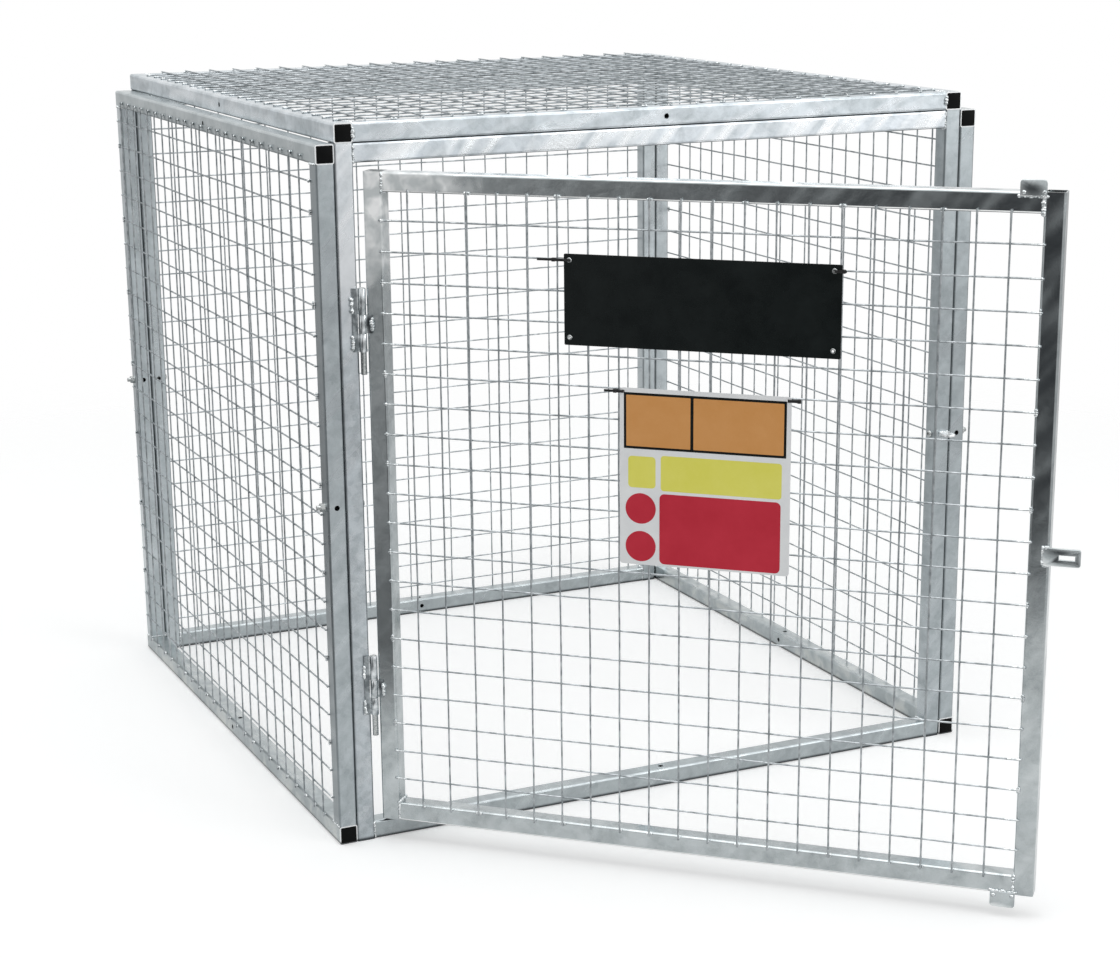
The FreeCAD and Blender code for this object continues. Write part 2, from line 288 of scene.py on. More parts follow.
def makeFloor():
    material = bpy.data.materials.new("paleFloor")
    add = emptyTree(material)
    gloss, white = rayKinds(add)
    place = add("TexCoord", out="Object")
    paint = add("BsdfDiffuse", linear(studio["floorColour"]))
    shine = add("Emission", (1, 1, 1, 1), add("Math.MULTIPLY", white, studio["floorGlow"]))
    solid = add("AddShader", paint, shine)
    across = add("SeparateXYZ", place, out="X")
    dim = add("MapRange", across, *studio["floorEnd"], *studio["floorDim"], interpolation_type="SMOOTHSTEP")
    gloom = add("Emission", linear(studio["darkColour"]), 1.0)
    solid = add("MixShader", add("Math.MULTIPLY", dim, gloss), solid, gloom)
    away = add("VectorMath.LENGTH", place, out="Value")
    fade = add("MapRange", away, *studio["floorFade"], interpolation_type="SMOOTHSTEP")
    add("OutputMaterial", add("MixShader", fade, solid, add("BsdfTransparent")))
    half = studio["floorSize"] / 2
    corners = [(-half, -half, 0), (half, -half, 0), (half, half, 0), (-half, half, 0)]
    mesh = newMesh("floor", corners, faces=[(0, 1, 2, 3)])
    mesh.materials.append(material)
    newObject("floor", mesh)


def makeLamps():
    for name, lamp in studio["lamps"].items():
        data = bpy.data.lights.new(name, "AREA")
        data.shape = "RECTANGLE"
        data.size, data.size_y = lamp["size"]
        data.energy = lamp["power"]
        made = newObject(name, data)
        made.location = lamp["place"]
        made.rotation_euler = (Vector(studio["aim"]) - made.location).to_track_quat("-Z", "Y").to_euler()


makeWorld()
makeFloor()
makeLamps()
bpy.context.scene.view_settings.view_transform = "Standard"
print("studio lit")


# Hot-dip galvanised steel: a grey zinc skin with clouds, faint crystals and pale drain runs, with painted shade
# in its corners, grooves and undersides and a painted floor reflection on the door's lower edges

zinc = {
    "cloudSize": 42 * mm,          # soft patches of the zinc coat
    "cloudShape": {"Detail": 3.0, "Roughness": 0.55, "Distortion": 0.6},
    "cloudSpan": (0.34, 0.66),     # part of the pattern that leads from dull to pale
    "crystalSize": 9 * mm,
    "crystalShare": 0.16,
    "grainSize": 1.6 * mm,
    "grainSpan": (0.3, 0.7),
    "grainShare": 0.14,
    "runAcross": 24 * mm,          # pale runs where the bath drained off
    "runAlong": 130 * mm,
    "runSpan": (0.46, 0.68),
    "roughSpan": (0.35, 0.65),
    "rough": (0.40, 0.24),         # between the runs and on them
    "waveHeight": 0.35 * mm,
    "waveStrength": 0.8,
    "grainWave": 0.05,             # height of the grain and the runs beside the clouds'
    "runWave": 0.07,
    "lowRise": 0.12,               # share of the runs that is left low on a post
    "topLift": 0.35,               # how far the top of a post takes the runs' colour
    "patchReach": (0.21, 0.06),    # metres from the door's corner where its dull patch fades out
    "patchRagged": 0.12,
    "patchColours": ("c8cdce", "f8f9f9"),
    "patchRough": 0.62,
    "patchMetal": 0.25,
    "bloomSize": 26 * mm,
    "bloomShape": {"Detail": 2.0, "Distortion": 0.3},
    "bloomSpan": (0.38, 0.62),
    "sawnAhead": (0.9 * mm, 0.5 * mm),     # off the cage's front where the sawn ends' brightness fades in
    "sawnAside": (-0.4 * mm, 0.2 * mm),    # and off the roof rails' inner faces
    "sawnColour": "f4f6f7",
    "sawnMetal": 0.3,
    "soilColour": "d9d9d2",
    "soilHeight": 0.05,
    "soilSpan": (0.45, 0.62),
    # painted shade on the tubes' upright corners and the bottom rails' outer upper edges
    "cornerShadeColour": "62696c",
    "lowTube": 1.01,               # height, in tubes, under which a tube is a bottom one
    "cornerSpan": (0.12, 0.45),
    "lowerEdgeReflection": (-0.1, -0.3),     # Z of the normals where the door's lower edges turn pale, a painted reflection of the bright floor
    "floorReflectionColour": "fafbfb",
    "undersideShade": (-0.58, -0.7),    # and where the undersides turn dark, as painted shade
    "undersideShadeShare": 0.85,
    "shadedSideEdge": (-0.6 * mm, -0.3 * mm),    # off the side panels' outer face where the painted shade on the outer side begins
    "shadedSideShare": 0.8,
    "grooveHalf": (0.2 * mm, 1.5 * mm),
    "roofSlack": 0.1 * mm,         # past the inner posts, where the groove under the roof ends
    "faceDepth": 0.5 * mm,         # the painted groove shade shows only in the front and back faces, this deep
    "grooveShadeShare": 0.32,
    "levelShare": 0.7,             # how dark the painted shade in the groove under the roof is beside the upright ones
    "groundShade": (3.2 * mm, 7.0 * mm),
    # painted shade: the share of the shade in the grooves and along the ground, and the dark colour that it and
    # the undersides' painted shade get
    "gapShadeShare": 0.88,
    "paintedShadeColour": "2b2f32",
}

# each tube's skin: the dull, the pale and the runs' colour, the runs' share and their tilt in degrees; corners
# is the share of painted shade on the corners, and some posts carry the colour of painted shade on their outer
# side
skins = {
    "post": {
        "colours": ("949ca0", "b0b8bd", "f4f7fa"), "runs": (0.95, 48),
        "topPale": (0.72, 1.10), "corners": 0.4, "on": ("front_hinge_post",),
    },
    "sidePost": {
        "colours": ("959da0", "a9b1b4", "d0d6da"), "runs": (0.3, 48),
        "corners": 0.5, "shadedSide": "8c9396", "on": ("left_front_post", "right_front_post", "front_latch_post"),
    },
    "rail": {
        "colours": ("a6aeb3", "c8cfd5", "f6f9fb"), "runs": (0.95, 48),
        "on": ("front_top_rail",),
    },
    "sill": {
        "colours": ("989fa2", "acb4b6", "d0d6d8"), "runs": (0.2, 48),
        "on": ("threshold", "back_bottom_rail"),
    },
    "roof": {
        "colours": ("9aa2a6", "bdc5ca", "eaeff3"), "runs": (0.6, 20), "sawn": True,
        "on": ("roof_left_rail", "roof_right_rail", "roof_front_rail", "roof_back_rail"),
    },
    "side": {
        "colours": ("9aa2a4", "b1b8ba", "ced4d6"), "runs": (0.25, 90), "sawn": True,
        "soil": 0.5, "corners": 0.5,
        "on": ("left_bottom_rail", "left_top_rail", "right_bottom_rail", "right_top_rail"),
    },
    "backPost": {
        "colours": ("abb3b6", "c0c8cb", "dce1e4"), "runs": (0.25, 90),
        "corners": 0.5,
        "on": ("left_back_post", "right_back_post", "back_left_post", "back_right_post", "back_top_rail"),
    },
    "door": {
        "colours": ("9aa1a3", "b4bbbd", "dde1e2"), "runs": (0.25, 60),
        "rough": (0.26, 0.10), "patchAt": doorBasis @ Vector((0, 0, doorHeight)),
        "on": ("door_hinge_stile", "door_latch_stile", "door_bottom_rail", "door_top_rail"),
    },
}


def startMaterial(name):
    material = bpy.data.materials.new(name)
    add = emptyTree(material)
    return material, add, add("TexCoord", out="Object")


def paintedGapShade(add, spot, aside):
    # painted shade: 1 in the grooves between the bolted panels and along the ground, where hardly any light
    # gets in
    off = add("Math.ABSOLUTE", add("Math.SUBTRACT", aside, innerRight))
    below = add("Math.LESS_THAN", spot["Z"], cageHigh)
    upright = add("Math.MULTIPLY", add("MapRange", off, *zinc["grooveHalf"], 1.0, 0.0), below)
    off = add("Math.ABSOLUTE", add("Math.SUBTRACT", spot["Z"], cageHigh))
    within = add("Math.LESS_THAN", aside, innerRight + zinc["roofSlack"])
    level = add("Math.MULTIPLY", add("MapRange", off, *zinc["grooveHalf"], 1.0, 0.0), within)
    atFace = add("Math.GREATER_THAN", add("Math.ABSOLUTE", spot["Y"]), backY - tube - zinc["faceDepth"])
    groove = add("Math.MAXIMUM", upright, add("Math.MULTIPLY", level, zinc["levelShare"]))
    groove = add("Math.MULTIPLY", add("Math.MULTIPLY", groove, atFace), zinc["grooveShadeShare"])
    return add("Math.MAXIMUM", groove, add("MapRange", spot["Z"], *zinc["groundShade"], 1.0, 0.0))


def paintedCornerShade(add, spot, facing):
    # painted shade: the upright corners and the outer upper edge of the bottom rails are painted darker
    sides = (add("Math.ABSOLUTE", facing[k]) for k in ("X", "Y"))
    outward = add("Math.MULTIPLY", facing["X"], add("Math.SIGN", spot["X"]))
    level = add("Math.MULTIPLY", add("Math.LESS_THAN", spot["Z"], tube * zinc["lowTube"]), facing["Z"])
    return add("Math.MAXIMUM", add("Math.MINIMUM", *sides), add("Math.MINIMUM", outward, level))


def thickPatch(add, place, cloud, corner):
    # a dull, cloudy patch of thick zinc round one corner: its share and its colour
    away = add("VectorMath.DISTANCE", place, corner, out="Value")
    ragged = add("MapRange", cloud, 0.0, 1.0, -zinc["patchRagged"], zinc["patchRagged"])
    bloom = add("TexNoise", {"Vector": place, "Scale": 1 / zinc["bloomSize"], **zinc["bloomShape"]})
    first, second = zinc["patchColours"]
    flower = layered(add, first, (add("MapRange", bloom, *zinc["bloomSpan"]), second))
    return add("MapRange", add("Math.ADD", away, ragged), *zinc["patchReach"]), flower


def galvanisedSteel(key, skin):
    material, add, place = startMaterial("galvanised" + key[0].upper() + key[1:])
    spot = add("SeparateXYZ", place).node.outputs
    facing = add("SeparateXYZ", add("TexCoord", out="Normal")).node.outputs
    aside = add("Math.ABSOLUTE", spot["X"])
    cloud = add("TexNoise", {"Vector": place, "Scale": 1 / zinc["cloudSize"], **zinc["cloudShape"]})
    cell = add("TexVoronoi", {"Vector": place, "Scale": 1 / zinc["crystalSize"]}, out="Color")
    grain = add("TexNoise", {"Vector": place, "Scale": 1 / zinc["grainSize"], "Detail": 1.0})
    runShare, runTilt = skin["runs"]
    tilted = add("Mapping", {
        "Vector": place, "Rotation": (0, math.radians(-runTilt), 0),
        "Scale": (zinc["runAlong"], zinc["runAlong"], zinc["runAcross"]),
    }, vector_type="TEXTURE")
    run = add("TexNoise", {"Vector": tilted, "Scale": 1.0, "Detail": 1.0})
    dull, pale, runColour = skin["colours"]
    layers = [
        (add("MapRange", cloud, *zinc["cloudSpan"]), pale),
        (add("MapRange", add("SeparateColor", cell), 0.0, 1.0, 0.0, zinc["crystalShare"]), runColour),
        (add("MapRange", grain, *zinc["grainSpan"], 0.0, zinc["grainShare"]), runColour),
    ]
    streak = add("MapRange", run, *zinc["runSpan"], 0.0, runShare)
    rough = add("MapRange", run, *zinc["roughSpan"], *skin.get("rough", zinc["rough"]))
    metal = 1.0
    if "topPale" in skin:
        # the runs and the pale skin gather towards the top of the posts
        least = zinc["lowRise"]
        rise = add("MapRange", spot["Z"], *skin["topPale"], least, 1.0, interpolation_type="SMOOTHSTEP")
        streak = add("Math.MULTIPLY", streak, rise)
        layers.append((add("MapRange", rise, least, 1.0, 0.0, zinc["topLift"]), runColour))
    layers.append((streak, runColour))
    if "patchAt" in skin:
        inside, flower = thickPatch(add, place, cloud, skin["patchAt"])
        layers.append((inside, flower))
        rough = add("Mix", inside, {2: rough, 3: zinc["patchRough"]})
        metal = add("MapRange", inside, 0.0, 1.0, 1.0, zinc["patchMetal"])
    if "sawn" in skin:
        # the sawn ends of the tubes that face the front are bright round their caps
        ahead = add("MapRange", spot["Y"], *(frontY + off for off in zinc["sawnAhead"]))
        past = add("MapRange", aside, *(innerRight - tube + off for off in zinc["sawnAside"]))
        share = add("Math.MULTIPLY", ahead, past)
        layers.append((share, zinc["sawnColour"]))
        metal = add("MapRange", share, 0.0, 1.0, 1.0, zinc["sawnMetal"])
    if "soil" in skin:
        # white rust and dust low down on the bottom tubes
        low = add("MapRange", spot["Z"], 0.0, zinc["soilHeight"], skin["soil"], 0.0)
        dusty = add("Math.MULTIPLY", low, add("MapRange", cloud, *zinc["soilSpan"]))
        layers.append((dusty, zinc["soilColour"]))
    if "corners" in skin:
        # painted shade along the corners
        shadedCorners = add("MapRange", paintedCornerShade(add, spot, facing), *zinc["cornerSpan"], 0.0, skin["corners"])
        layers.append((shadedCorners, zinc["cornerShadeColour"]))
    # painted shade: the undersides of the rails, which no light reaches, are painted dark; painted reflection:
    # the door's lower edges are painted pale above them, standing for the bright floor they mirror
    if "patchAt" in skin:
        # painted reflection of the floor on the door's lower edges
        layers.append((add("MapRange", facing["Z"], *zinc["lowerEdgeReflection"]), zinc["floorReflectionColour"]))
    # painted shade on the undersides
    underShade = add("MapRange", facing["Z"], *zinc["undersideShade"], 0.0, zinc["undersideShadeShare"])
    layers.append((underShade, zinc["paintedShadeColour"]))
    if "shadedSide" in skin:
        # painted shade: the outer sides of the posts are painted darker beside the bright front
        outer = add("MapRange", aside, *(sideRight + off for off in zinc["shadedSideEdge"]))
        layers.append((add("Math.MULTIPLY", outer, zinc["shadedSideShare"]), skin["shadedSide"]))
    if "patchAt" not in skin:
        # painted shade in the grooves between panels and along the ground
        gapShade = add("Math.MULTIPLY", paintedGapShade(add, spot, aside), zinc["gapShadeShare"])
        layers.append((gapShade, zinc["paintedShadeColour"]))
    wave = add("Math.ADD", cloud, add("MapRange", grain, 0.0, 1.0, 0.0, zinc["grainWave"]))
    wave = add("Math.ADD", wave, add("MapRange", run, 0.0, 1.0, 0.0, zinc["runWave"]))
    relief = add("Bump", {"Height": wave, "Distance": zinc["waveHeight"], "Strength": zinc["waveStrength"]})
    add("OutputMaterial", add("BsdfPrincipled", {
        "Base Color": layered(add, dull, *layers), "Metallic": metal, "Roughness": rough, "Normal": relief,
    }))
    return material


# The other finishes: one fine pattern leads from the first colour to the second and sets the roughness

roughSpan = (0.3, 0.7)     # part of the pattern that leads from the first roughness to the second
surfaces = {
    # galvanised hinges: bright barrels that mirror the room, and blotchy leaves painted dark, as painted shade
    # beside the barrels
    "hinge": {
        "name": "galvanisedHinge", "size": 11 * mm, "detail": 3.0, "span": (0.35, 0.65),
        "colours": ("9fa5a8", "dde1e3"), "rough": (0.22, 0.1), "relief": (0.3 * mm, 0.5),
        "leafShadeSpan": (0.40, 0.62), "leafShadeColours": ("6a7073", "9aa0a3"), "leafFrom": (7.5 * mm, 8.5 * mm),
    },
    # welded mesh wire, galvanised after welding: dull grey with small bright flecks
    "wire": {
        "name": "galvanisedWire", "size": 14 * mm, "detail": 2.0, "span": (0.35, 0.68),
        "colours": ("888e91", "bbc0c3"), "rough": (0.5, 0.34), "relief": (0.2 * mm, 0.6),
    },
    # weld metal under zinc: bright, lumpy and glossier than the tubes
    "weld": {
        "name": "galvanisedWeld", "size": 5 * mm, "detail": 2.0, "span": (0.35, 0.65),
        "colours": ("a2a8aa", "dfe2e3"), "rough": (0.30, 0.14), "relief": (0.5 * mm, 0.7),
    },
    # bright zinc-plated bolts and pins: thin, even plating with fine turning marks
    "plated": {
        "name": "zincPlatedSteel", "size": 2 * mm, "detail": 2.0, "span": (0.3, 0.7),
        "colours": ("8f9394", "c9cccb"), "rough": (0.16, 0.30),
    },
    # black polyethylene plugs, injection moulded: soft sheen and a fine matt grain
    "cap": {
        "name": "blackPolyethylene", "gloss": 0.1, "size": 9 * mm, "detail": 3.0, "span": (0.4, 0.8),
        "colours": ("020303", "08090a"), "rough": (0.5, 0.66), "relief": (0.05 * mm, 0.5),
        "grain": (0.8 * mm, 1.0),
    },
    # black nylon cable ties: smooth moulded, slightly glossy
    "tie": {
        "name": "blackNylon", "gloss": 0.5, "size": 3 * mm, "detail": 2.0, "span": (0.0, 1.0),
        "colours": ("0b0b0c", "17181a"), "rough": (0.32, 0.45),
    },
}
# rigid printed PVC sheet: flat ink with a satin film and a trace of dust
inks = {
    "black": ("blackPrintedBoard", ("040b0b", "091212"), (0.22, 0.34)),
    "white": ("whitePrintedBoard", ("dee0e2", "e7e9e9"), (0.30, 0.42)),
    "orange": ("orangeInk", ("cc9050", "d2985c"), (0.40, 0.52)),
    "yellow": ("yellowInk", ("ddd95c", "e2de6e"), (0.40, 0.52)),
    "red": ("redInk", ("b91f34", "c2293d"), (0.40, 0.52)),
}
for key, (name, colours, rough) in inks.items():
    surfaces[key] = {
        "name": name, "gloss": 0.3, "size": 60 * mm, "detail": 5.0, "ragged": 0.7, "span": (0.35, 0.75),
        "colours": colours, "rough": rough, "relief": (0.15 * mm, 0.4), "grain": (25 * mm, 0.0),
    }


def plainFinish(look):
    # gloss stands for a plastic or an ink, and a finish without it is metal
    material, add, place = startMaterial(look["name"])
    pattern = add("TexNoise", {
        "Vector": place, "Scale": 1 / look["size"], "Detail": look["detail"],
        "Roughness": look.get("ragged", 0.5),
    })
    coat = layered(add, look["colours"][0], (add("MapRange", pattern, *look["span"]), look["colours"][1]))
    if "leafFrom" in look:
        # the leaves are what lies away from the hinge's axis, and their darker colour is painted shade
        spot = add("SeparateXYZ", place).node.outputs
        flat = add("CombineXYZ", spot["X"], spot["Y"])
        away = add("VectorMath.DISTANCE", flat, (pinAt.x, pinAt.y, 0), out="Value")
        first, second = look["leafShadeColours"]
        leafShade = layered(add, first, (add("MapRange", pattern, *look["leafShadeSpan"]), second))
        coat = layered(add, coat, (add("MapRange", away, *look["leafFrom"]), leafShade))
    rough = add("MapRange", pattern, *roughSpan, *look["rough"])
    shown = {"Base Color": coat, "Roughness": rough}
    shown.update({"Specular IOR Level": look["gloss"]} if "gloss" in look else {"Metallic": 1.0})
    if "grain" in look:
        # the relief follows a pattern of its own
        size, detail = look["grain"]
        pattern = add("TexNoise", {"Vector": place, "Scale": 1 / size, "Detail": detail})
    if "relief" in look:
        height, strength = look["relief"]
        shown["Normal"] = add("Bump", {"Height": pattern, "Distance": height, "Strength": strength})
    add("OutputMaterial", add("BsdfPrincipled", shown))
    return material


finish = {key: galvanisedSteel(key, skin) for key, skin in skins.items()}
finish.update({key: plainFinish(look) for key, look in surfaces.items()})
print("materials made:", len(finish))

for key, skin in skins.items():
    for name in skin["on"]:
        for place in frame["nodes"][name].material_slots:
            place.material = finish[key]
print("tubes dressed")


# Geometry Nodes helpers

def newTree(name, **kinds):
    # kinds maps a kind of socket to the names of its inputs; the geometry goes in first and comes out
    tree = bpy.data.node_groups.new(name, "GeometryNodeTree")
    for way in ("INPUT", "OUTPUT"):
        tree.interface.new_socket("Geometry", in_out=way, socket_type="NodeSocketGeometry")
    for kind, labels in kinds.items():
        for label in labels:
            tree.interface.new_socket(label, in_out="INPUT", socket_type="NodeSocket" + kind)
    add = partial(addNode, tree)
    return tree, add, add("GroupInput").node.outputs


def solidEnd(add, shape, material, drift=None, smooth=True):
    # how each tree ends: real geometry with its material
    shape = add("RealizeInstances", shape)
    if drift is not None:
        shape = add("SetPosition", {"Geometry": shape, "Offset": drift})
    if smooth:
        shape = add("SetShadeSmooth", shape)
    return add("SetMaterial", {"Geometry": shape, "Material": material})


def runTree(tree, name, values, mesh=None):
    # evaluate the tree once and keep the result as a plain mesh
    piece = newObject(name, mesh or bpy.data.meshes.new(name))
    modifier = piece.modifiers.new("build", "NODES")
    modifier.node_group = tree
    for item in tree.interface.items_tree:
        if item.in_out == "INPUT" and item.name in values:
            modifier[item.identifier] = values[item.name]
    return baked(piece)


# Welded mesh of round wires, with a weld at each crossing and tack welds at the wires' ends

wires = {
    "inputs": {
        "Pitch": 50 * mm,
        "Wire": 3 * mm,
        "Bite": 0.4 * mm,
        "Tack": 2.6 * mm,          # radius of a tack weld
        "Tack Inset": 3.5 * mm,    # from the wire's end
        "Sleeve": 5 * mm,          # zinc that gathers on the wire's end
        "Sink": 0.3 * mm,          # how far the zinc lies behind the outer wires' middle
        "Waviness": 2.0 * mm,
    },
    "corners": 8,              # of a wire's round section
    "steps": 47,               # along a wire
    "waveScale": 7.0,
    "crossing": 0.7,           # radius of a crossing's weld, in wires
    "crossingShape": (1.0, 0.9, 1.0),
    "tackAside": 1.25,         # how far the side ones lie from the wire, in radii
    "tackSizes": ((0.75, 0.6, 0.75), (1.35, 0.85, 1.35)),
    "doorSleeve": 19 * mm,
    "sleeveThick": 1.16,
    # in mm, seen from outside: how far a sheet lies off the middle of its frame, to the right and up,
    # and how far its wires reach over the tubes at the left, right, foot and top
    "sheets": {
        "left": {"seed": 1, "off": (-12, 9), "laps": (24, 4, 4, 13)},
        "right": {"seed": 2, "off": (-18, 3.5), "laps": (24, 4, 7, 13)},
        "back": {"seed": 3, "off": (-15, -13), "laps": (24, 4, 20, 4)},
        "roof": {"seed": 5, "off": (-9, -15), "laps": (17, 5, 20, 4)},
        "door": {"seed": 4, "off": (0, 0), "laps": (5.5, 5.5, 5.5, 5.5)},
    },
}


def wireTree():
    tree, add, given = newTree(
        "weldedMesh", Int=("Uprights", "Levels", "Seed"), Material=("Finish", "Weld Finish"),
        Float=("First Upright", "First Level", "Left", "Right", "Foot", "Top", *wires["inputs"]))

    def put(upright, aside, out, along):
        # a place or a shift: across the row of wires, outwards, and along a wire
        return add("CombineXYZ", aside, out, along) if upright else add("CombineXYZ", along, out, aside)

    radius = add("Math.MULTIPLY", given["Wire"], 0.5)
    levelY = add("Math.MULTIPLY", given["Wire"], -0.5)
    uprightY = add("Math.ADD", add("Math.MULTIPLY", given["Wire"], -1.5), given["Bite"])
    lift = add("Math.ADD", add("Math.SUBTRACT", uprightY, levelY), given["Sink"])
    thin = add("CurvePrimitiveCircle", {"Resolution": wires["corners"], "Radius": radius})
    thick = add("Math.MULTIPLY", radius, wires["sleeveThick"])
    thick = add("CurvePrimitiveCircle", {"Resolution": wires["corners"], "Radius": thick})
    bead = add("MeshIcoSphere", {"Radius": given["Tack"], "Subdivisions": 2})
    third = add("Math.MODULO", add("Math.ADD", add("InputIndex"), given["Seed"]), 3.0)
    third = add("Compare.LESS_THAN", third, 0.5)
    drawn, tacks = [], []
    for upright in (True, False):
        count = given["Uprights" if upright else "Levels"]
        row = {"Count": count, "Offset": put(upright, given["Pitch"], 0.0, 0.0)}
        first = given["First Upright" if upright else "First Level"]
        low, high = (given[k] for k in (("Foot", "Top") if upright else ("Left", "Right")))
        line = add("CurvePrimitiveLine", {"End": put(upright, 0.0, 0.0, add("Math.SUBTRACT", high, low))})
        line = add("ResampleCurve", {"Curve": line, "Count": wires["steps"]})
        rod = add("CurveToMesh", {"Curve": line, "Profile Curve": thin, "Fill Caps": True})
        row["Start Location"] = put(upright, first, uprightY if upright else levelY, low)
        drawn.append(add("InstanceOnPoints", {"Points": add("MeshLine", row), "Instance": rod}))
        # tack welds on both sides of every third wire's end, and one small one on the others;
        # zinc gathers on the last stretch of each wire, which is thicker and brighter there
        for limit, way, inward in ((low, "Math.ADD", 1.0), (high, "Math.SUBTRACT", -1.0)):
            row["Start Location"] = put(upright, first, levelY, add(way, limit, given["Tack Inset"]))
            ends = add("MeshLine", row)
            reach = add("Math.MULTIPLY", given["Sleeve"], inward)
            out = lift if upright else 0.0
            span = {"Start": put(upright, 0.0, out, 0.0), "End": put(upright, 0.0, out, reach)}
            core = add("CurvePrimitiveLine", span)
            skin = add("CurveToMesh", {"Curve": core, "Profile Curve": thick, "Fill Caps": True})
            tacks.append(add("InstanceOnPoints", {"Points": ends, "Instance": skin}))
            for side in (-1, 0, 1):
                aside = add("Math.MULTIPLY", given["Tack"], wires["tackAside"] * side)
                moved = add("SetPosition", {"Geometry": ends, "Offset": put(upright, aside, 0.0, 0.0)})
                size = add("RandomValue", *wires["tackSizes"], {"Seed": given["Seed"]},
                           data_type="FLOAT_VECTOR")
                dots = {"Points": moved, "Instance": bead, "Scale": size}
                if side != 0:
                    dots["Selection"] = third
                tacks.append(add("InstanceOnPoints", dots))
    # one flattened blob where two wires cross
    across, along = (add("Math.MULTIPLY", add("Math.SUBTRACT", given[k], 1.0), given["Pitch"])
                     for k in ("Uprights", "Levels"))
    grid = add("MeshGrid", {
        "Size X": across, "Size Y": along, "Vertices X": given["Uprights"], "Vertices Y": given["Levels"],
    })
    centre = add("CombineXYZ", add("Math.ADD", given["First Upright"], add("Math.MULTIPLY", across, 0.5)),
                 add("Math.MULTIPLY", add("Math.ADD", uprightY, levelY), 0.5),
                 add("Math.ADD", given["First Level"], add("Math.MULTIPLY", along, 0.5)))
    stood = add("Transform", {
        "Geometry": grid, "Translation": centre, "Rotation": (math.radians(90), 0, 0),
    })
    radius = add("Math.MULTIPLY", given["Wire"], wires["crossing"])
    blob = add("MeshIcoSphere", {"Radius": radius, "Subdivisions": 1})
    drawn.append(add("InstanceOnPoints", {"Points": stood, "Instance": blob, "Scale": wires["crossingShape"]}))
    # drawn wire is never quite straight between its welds
    where = add("InputPosition")
    drift = add("TexNoise", {"Vector": where, "W": given["Seed"], "Scale": wires["waveScale"], "Detail": 0.0},
                noise_dimensions="4D", out="Color")
    drift = add("VectorMath.SUBTRACT", drift, (0.5, 0.5, 0.5))
    drift = add("VectorMath.MULTIPLY", drift, add("CombineXYZ", given["Waviness"], 0.0, given["Waviness"]))
    add("GroupOutput", add("JoinGeometry", [
        solidEnd(add, add("JoinGeometry", drawn), given["Finish"], drift),
        solidEnd(add, add("JoinGeometry", tacks), given["Weld Finish"], drift),
    ]))
    return tree


def wirePlaces(high, shift):
    # how many wires lie between two tubes, and where the first is
    pitch = wires["inputs"]["Pitch"]
    count = int(round((high - 2 * tube) / pitch, 4))
    return count, high / 2 - (count - 1) * pitch / 2 + shift


def makeMeshes():
    tree = wireTree()
    for name, sheet in wires["sheets"].items():
        matrix, width, height = panels[name]
        uprights, firstUpright = wirePlaces(width, sheet["off"][0] * mm)
        levels, firstLevel = wirePlaces(height, sheet["off"][1] * mm)
        left, right, foot, top = (tube - lap * mm for lap in sheet["laps"])
        values = {
            **wires["inputs"], "Uprights": uprights, "Levels": levels, "First Upright": firstUpright,
            "First Level": firstLevel, "Left": left, "Right": width - right, "Foot": foot, "Top": height - top,
            "Seed": sheet["seed"], "Finish": finish["wire"], "Weld Finish": finish["weld"],
        }
        body, ends = "cage", ("_mesh_a", "_mesh_b")
        if name == "door":
            body, ends = "door", ("_mesh",)
            values["Sleeve"] = wires["doorSleeve"]
        piece = runTree(tree, name + "_wires", values)
        piece.data.transform(matrix)
        finishPiece(piece, body, [name + end for end in ends])


makeMeshes()
print("wires welded")


# CAD pieces whose edges are softened by grinding and zinc: the edge's width, finish, slot and body

softening = {"merge": 0.002 * mm, "flat": 0.8, "sharp": 40}    # flat and sharp are degrees between faces
softPieces = {
    "hinge_post_leaves": (0.5 * mm, "hinge", "galvanised_steel", "cage"),
    "hinge_door_leaves": (0.5 * mm, "hinge", "galvanised_steel", "door"),
    "hinge_pins": (0.8 * mm, "plated", "zinc_plated", "cage"),
    "door_top_stop": (0.7 * mm, "door", "galvanised_steel", "door"),
    "door_bottom_stop": (0.7 * mm, "door", "galvanised_steel", "door"),
    "hasp": (0.7 * mm, "door", "galvanised_steel", "door"),
    "lock_staple": (0.7 * mm, "side", "galvanised_steel", "cage"),
    "panel_bolts": (0.35 * mm, "plated", "zinc_plated", "cage"),
    "side_rail_caps": (0.5 * mm, "cap", "black_plastic", "cage"),
    "roof_rail_caps": (0.5 * mm, "cap", "black_plastic", "cage"),
}


def soften(name, width, key, slotName, body):
    # a merged copy of the CAD node with its sharp edges rounded over
    copy = frame["nodes"][name].data.copy()
    work = bmesh.new()
    work.from_mesh(copy)
    bmesh.ops.remove_doubles(work, verts=work.verts, dist=softening["merge"])
    bmesh.ops.dissolve_limit(work, angle_limit=math.radians(softening["flat"]), verts=work.verts,
                             edges=work.edges)
    work.to_mesh(copy)
    work.free()
    copy.materials.clear()
    copy.materials.append(finish[key])
    for face in copy.polygons:
        face.material_index = 0
        face.use_smooth = True
    piece = newObject(name + "_finished", copy)
    addBevel(piece, width, softening["sharp"]).harden_normals = True
    finishPiece(baked(piece), body, (name,))


for name, how in softPieces.items():
    soften(name, *how)
print("small pieces softened:", len(softPieces))


# Threads of the panel bolts that stand out past their nuts

bolts = {
    "inputs": {"Radius": 3.9 * mm, "Ridge": 0.5 * mm},
    "steps": 16,             # in a turn
    "tail": 6 * mm,
    "pitch": 1.25 * mm,
    "clear": 0.5 * mm,       # from the bolt's end
    "posts": ("left_front_post", "left_back_post", "right_front_post", "right_back_post"),
}


